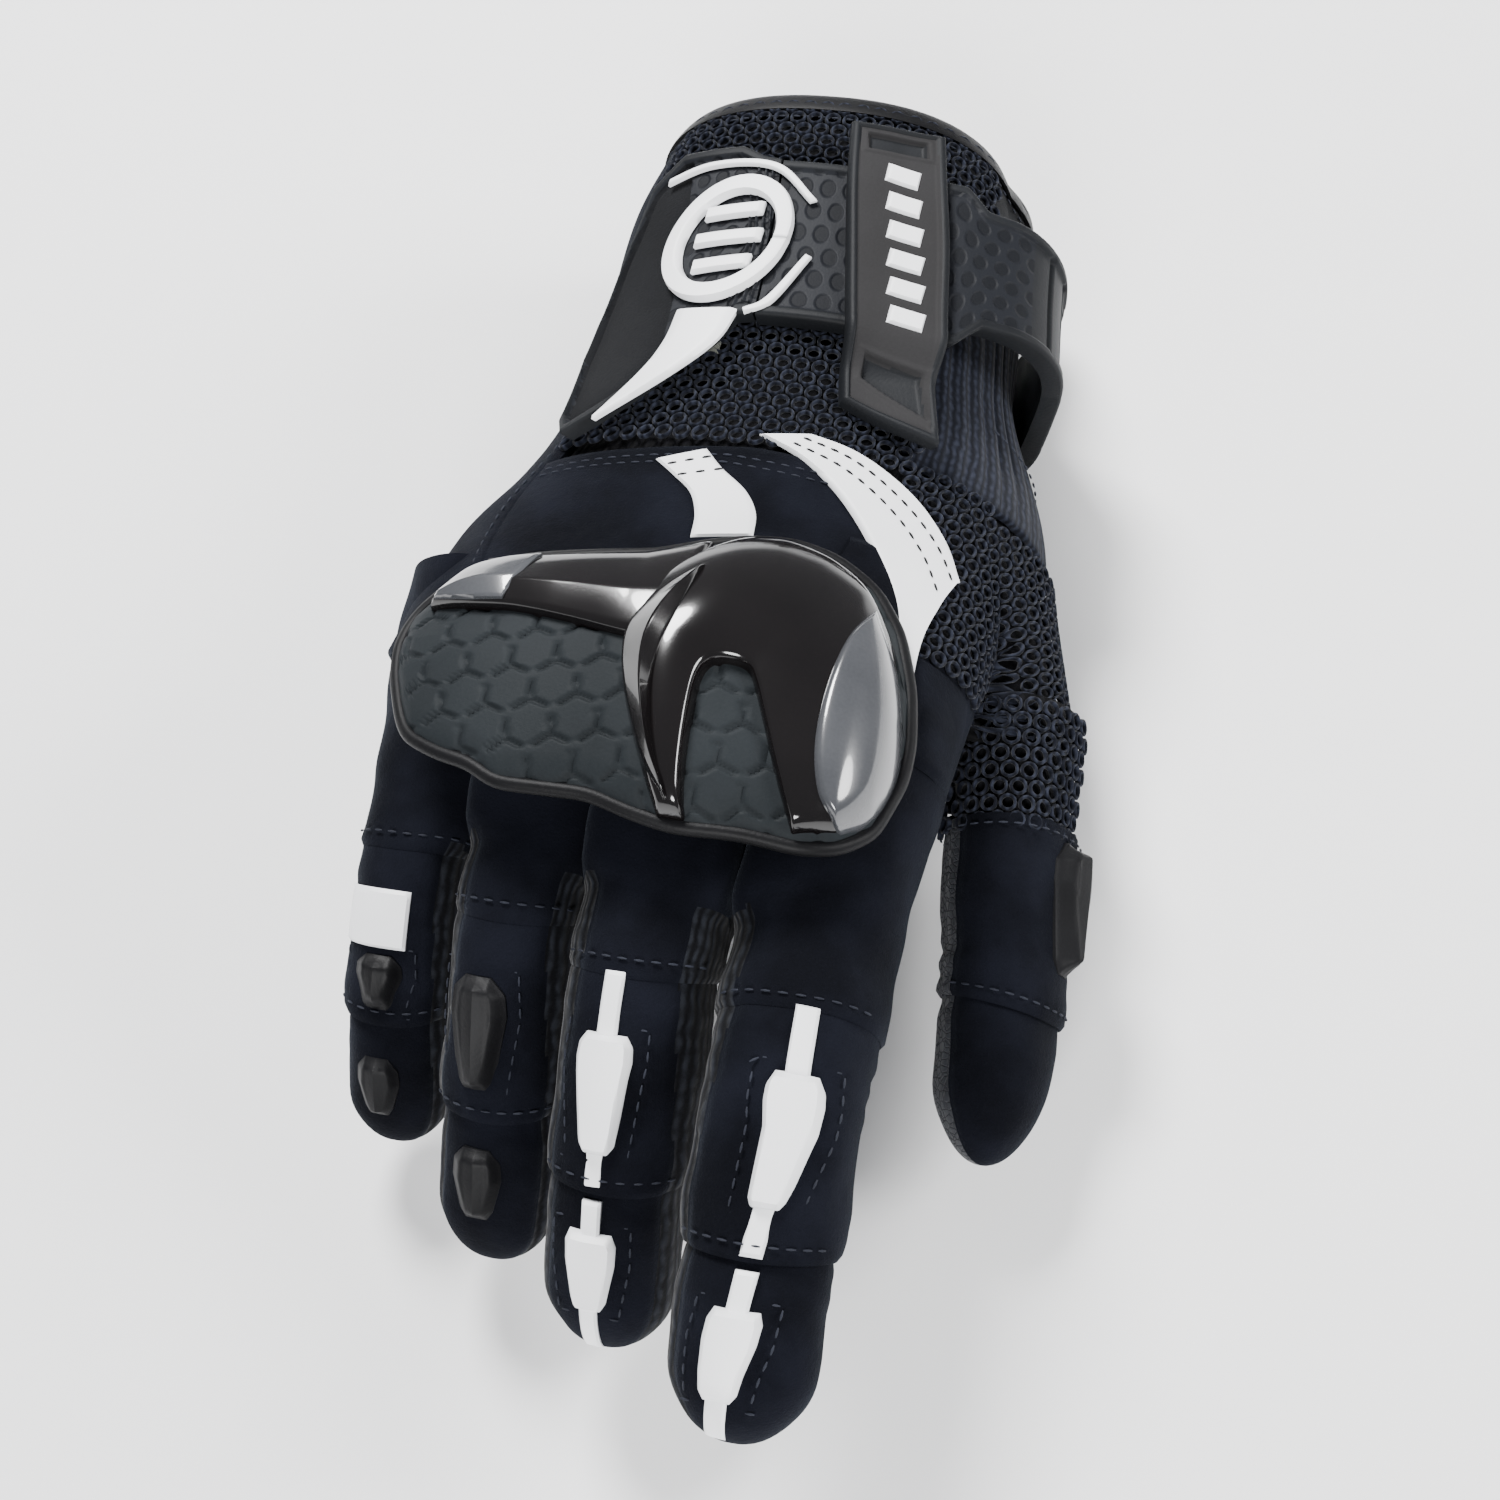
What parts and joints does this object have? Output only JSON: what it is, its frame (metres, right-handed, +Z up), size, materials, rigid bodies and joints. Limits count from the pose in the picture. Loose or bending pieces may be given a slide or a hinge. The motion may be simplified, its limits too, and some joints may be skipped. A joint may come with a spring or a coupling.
{
  "type": "motorcycle glove",
  "caption": "Right-hand short motorcycle glove with a knuckle guard, air-mesh back, finger guards, palm slider and a hook-and-loop wrist strap.",
  "frame": {"origin": "middle of the plan box, on the surface the glove lies on", "axes": "+Y from the fingers to the cuff, +Z up out of the back of the hand, +X to the thumb side"},
  "size_m": [0.1232, 0.2417, 0.0814],
  "materials": {
    "suede": "soft nap, matt",
    "air_mesh": "open knit",
    "elastic": "ribbed",
    "leather": "fine grain",
    "binding": "folded tape",
    "lining": "knit",
    "foam": "foam",
    "rubber": "matt, textured",
    "gloss_shell": "gloss",
    "reflective": "satin film",
    "hook_and_loop": "fuzzy loop"
  },
  "bodies": {
    "hand": {"back_panel": "suede", "back_mesh_panel": "air_mesh", "thumb_mesh_panel": "air_mesh", "outer_side_panel": "suede", "palm_panel": "leather", "cuff_palm_panel": "suede", "cuff_side_panel": "suede", "wrist_elastic": "elastic", "thumb_gusset": "leather", "web_panel": "suede", "cuff_binding": "binding", "wrist_lining": "lining", "knuckle_foam": "foam", "knuckle_guard_base": "rubber", "knuckle_guard_shell": "gloss_shell", "reflective_arc": "reflective", "reflective_notch": "reflective", "palm_slider": "gloss_shell", "palm_pad": "leather", "strap_band": "rubber", "strap_keeper": "rubber", "loop_patch": "hook_and_loop"},
    "strap_flap": {"strap_flap": "rubber", "strap_emblem": "reflective", "hook_patch": "hook_and_loop"},
    "index_base": {"index_base_back": "suede", "index_base_palm": "suede"},
    "index_mid": {"index_mid_back": "suede", "index_mid_palm": "leather", "index_mid_guard": "reflective"},
    "index_tip": {"index_tip_stall": "suede", "index_tip_guard": "reflective"},
    "middle_base": {"middle_base_back": "suede", "middle_base_palm": "suede"},
    "middle_mid": {"middle_mid_back": "suede", "middle_mid_palm": "leather", "middle_mid_guard": "reflective"},
    "middle_tip": {"middle_tip_stall": "suede", "middle_tip_guard": "reflective"},
    "ring_base": {"ring_base_back": "suede", "ring_base_palm": "suede"},
    "ring_mid": {"ring_mid_back": "suede", "ring_mid_palm": "leather", "ring_mid_guard": "gloss_shell"},
    "ring_tip": {"ring_tip_stall": "suede", "ring_tip_guard": "gloss_shell"},
    "little_base": {"little_base_back": "suede", "little_base_palm": "suede"},
    "little_mid": {"little_mid_back": "suede", "little_mid_palm": "leather", "little_mid_guard": "gloss_shell", "little_patch": "reflective"},
    "little_tip": {"little_tip_stall": "suede", "little_tip_guard": "gloss_shell"},
    "thumb_base": {"thumb_base_back": "suede", "thumb_base_palm": "leather", "thumb_guard": "gloss_shell"},
    "thumb_tip": {"thumb_tip_stall": "suede"}
  },
  "joints": [
    {"name": "index_knuckle", "type": "hinge", "parent": "hand", "child": "index_base", "pos_m": [0.0242, -0.018, 0.049], "axis": [1, 0, 0], "range_deg": [-5, 50]},
    {"name": "index_middle_joint", "type": "hinge", "parent": "index_base", "child": "index_mid", "pos_m": [0.0242, -0.07087, 0.0527], "axis": [1, 0, 0], "range_deg": [-12, 55]},
    {"name": "index_end_joint", "type": "hinge", "parent": "index_mid", "child": "index_tip", "pos_m": [0.0242, -0.09718, 0.04662], "axis": [1, 0, 0], "range_deg": [-7.2, 33]},
    {"name": "middle_knuckle", "type": "hinge", "parent": "hand", "child": "middle_base", "pos_m": [-0.0017, -0.012, 0.055], "axis": [1, 0, 0], "range_deg": [-5, 50]},
    {"name": "middle_middle_joint", "type": "hinge", "parent": "middle_base", "child": "middle_mid", "pos_m": [-0.0017, -0.05766, 0.04939], "axis": [1, 0, 0], "range_deg": [-12, 55]},
    {"name": "middle_end_joint", "type": "hinge", "parent": "middle_mid", "child": "middle_tip", "pos_m": [-0.0017, -0.08503, 0.03484], "axis": [1, 0, 0], "range_deg": [-7.2, 33]},
    {"name": "ring_knuckle", "type": "hinge", "parent": "hand", "child": "ring_base", "pos_m": [-0.0244, -0.008, 0.052], "axis": [1, 0, 0], "range_deg": [-5, 50]},
    {"name": "ring_middle_joint", "type": "hinge", "parent": "ring_base", "child": "ring_mid", "pos_m": [-0.0244, -0.05058, 0.04602], "axis": [1, 0, 0], "range_deg": [-12, 55]},
    {"name": "ring_end_joint", "type": "hinge", "parent": "ring_mid", "child": "ring_tip", "pos_m": [-0.0244, -0.07404, 0.02897], "axis": [1, 0, 0], "range_deg": [-7.2, 33]},
    {"name": "little_knuckle", "type": "hinge", "parent": "hand", "child": "little_base", "pos_m": [-0.0463, -0.005, 0.043], "axis": [1, 0, 0], "range_deg": [-5, 50]},
    {"name": "little_middle_joint", "type": "hinge", "parent": "little_base", "child": "little_mid", "pos_m": [-0.0463, -0.0418, 0.03913], "axis": [1, 0, 0], "range_deg": [-12, 55]},
    {"name": "little_end_joint", "type": "hinge", "parent": "little_mid", "child": "little_tip", "pos_m": [-0.0463, -0.06045, 0.02747], "axis": [1, 0, 0], "range_deg": [-7.2, 33]},
    {"name": "thumb_lower_joint", "type": "hinge", "parent": "hand", "child": "thumb_base", "pos_m": [0.0472, -0.002, 0.026], "axis": [-0.4226, -0.1729, 0.8897], "range_deg": [-45, 8]},
    {"name": "thumb_end_joint", "type": "hinge", "parent": "thumb_base", "child": "thumb_tip", "pos_m": [0.05052, -0.03646, 0.02088], "axis": [-0.4226, -0.1729, 0.8897], "range_deg": [-60, 5]},
    {"name": "strap_flap_fold", "type": "hinge", "parent": "hand", "child": "strap_flap", "pos_m": [-0.00779, 0.078, 0.0607], "axis": [0, 1, 0], "range_deg": [0, 80]}
  ],
  "couplings": [
    {"joint": "index_end_joint", "follows": "index_middle_joint", "ratio": 0.6},
    {"joint": "middle_end_joint", "follows": "middle_middle_joint", "ratio": 0.6},
    {"joint": "ring_end_joint", "follows": "ring_middle_joint", "ratio": 0.6},
    {"joint": "little_end_joint", "follows": "little_middle_joint", "ratio": 0.6}
  ]
}
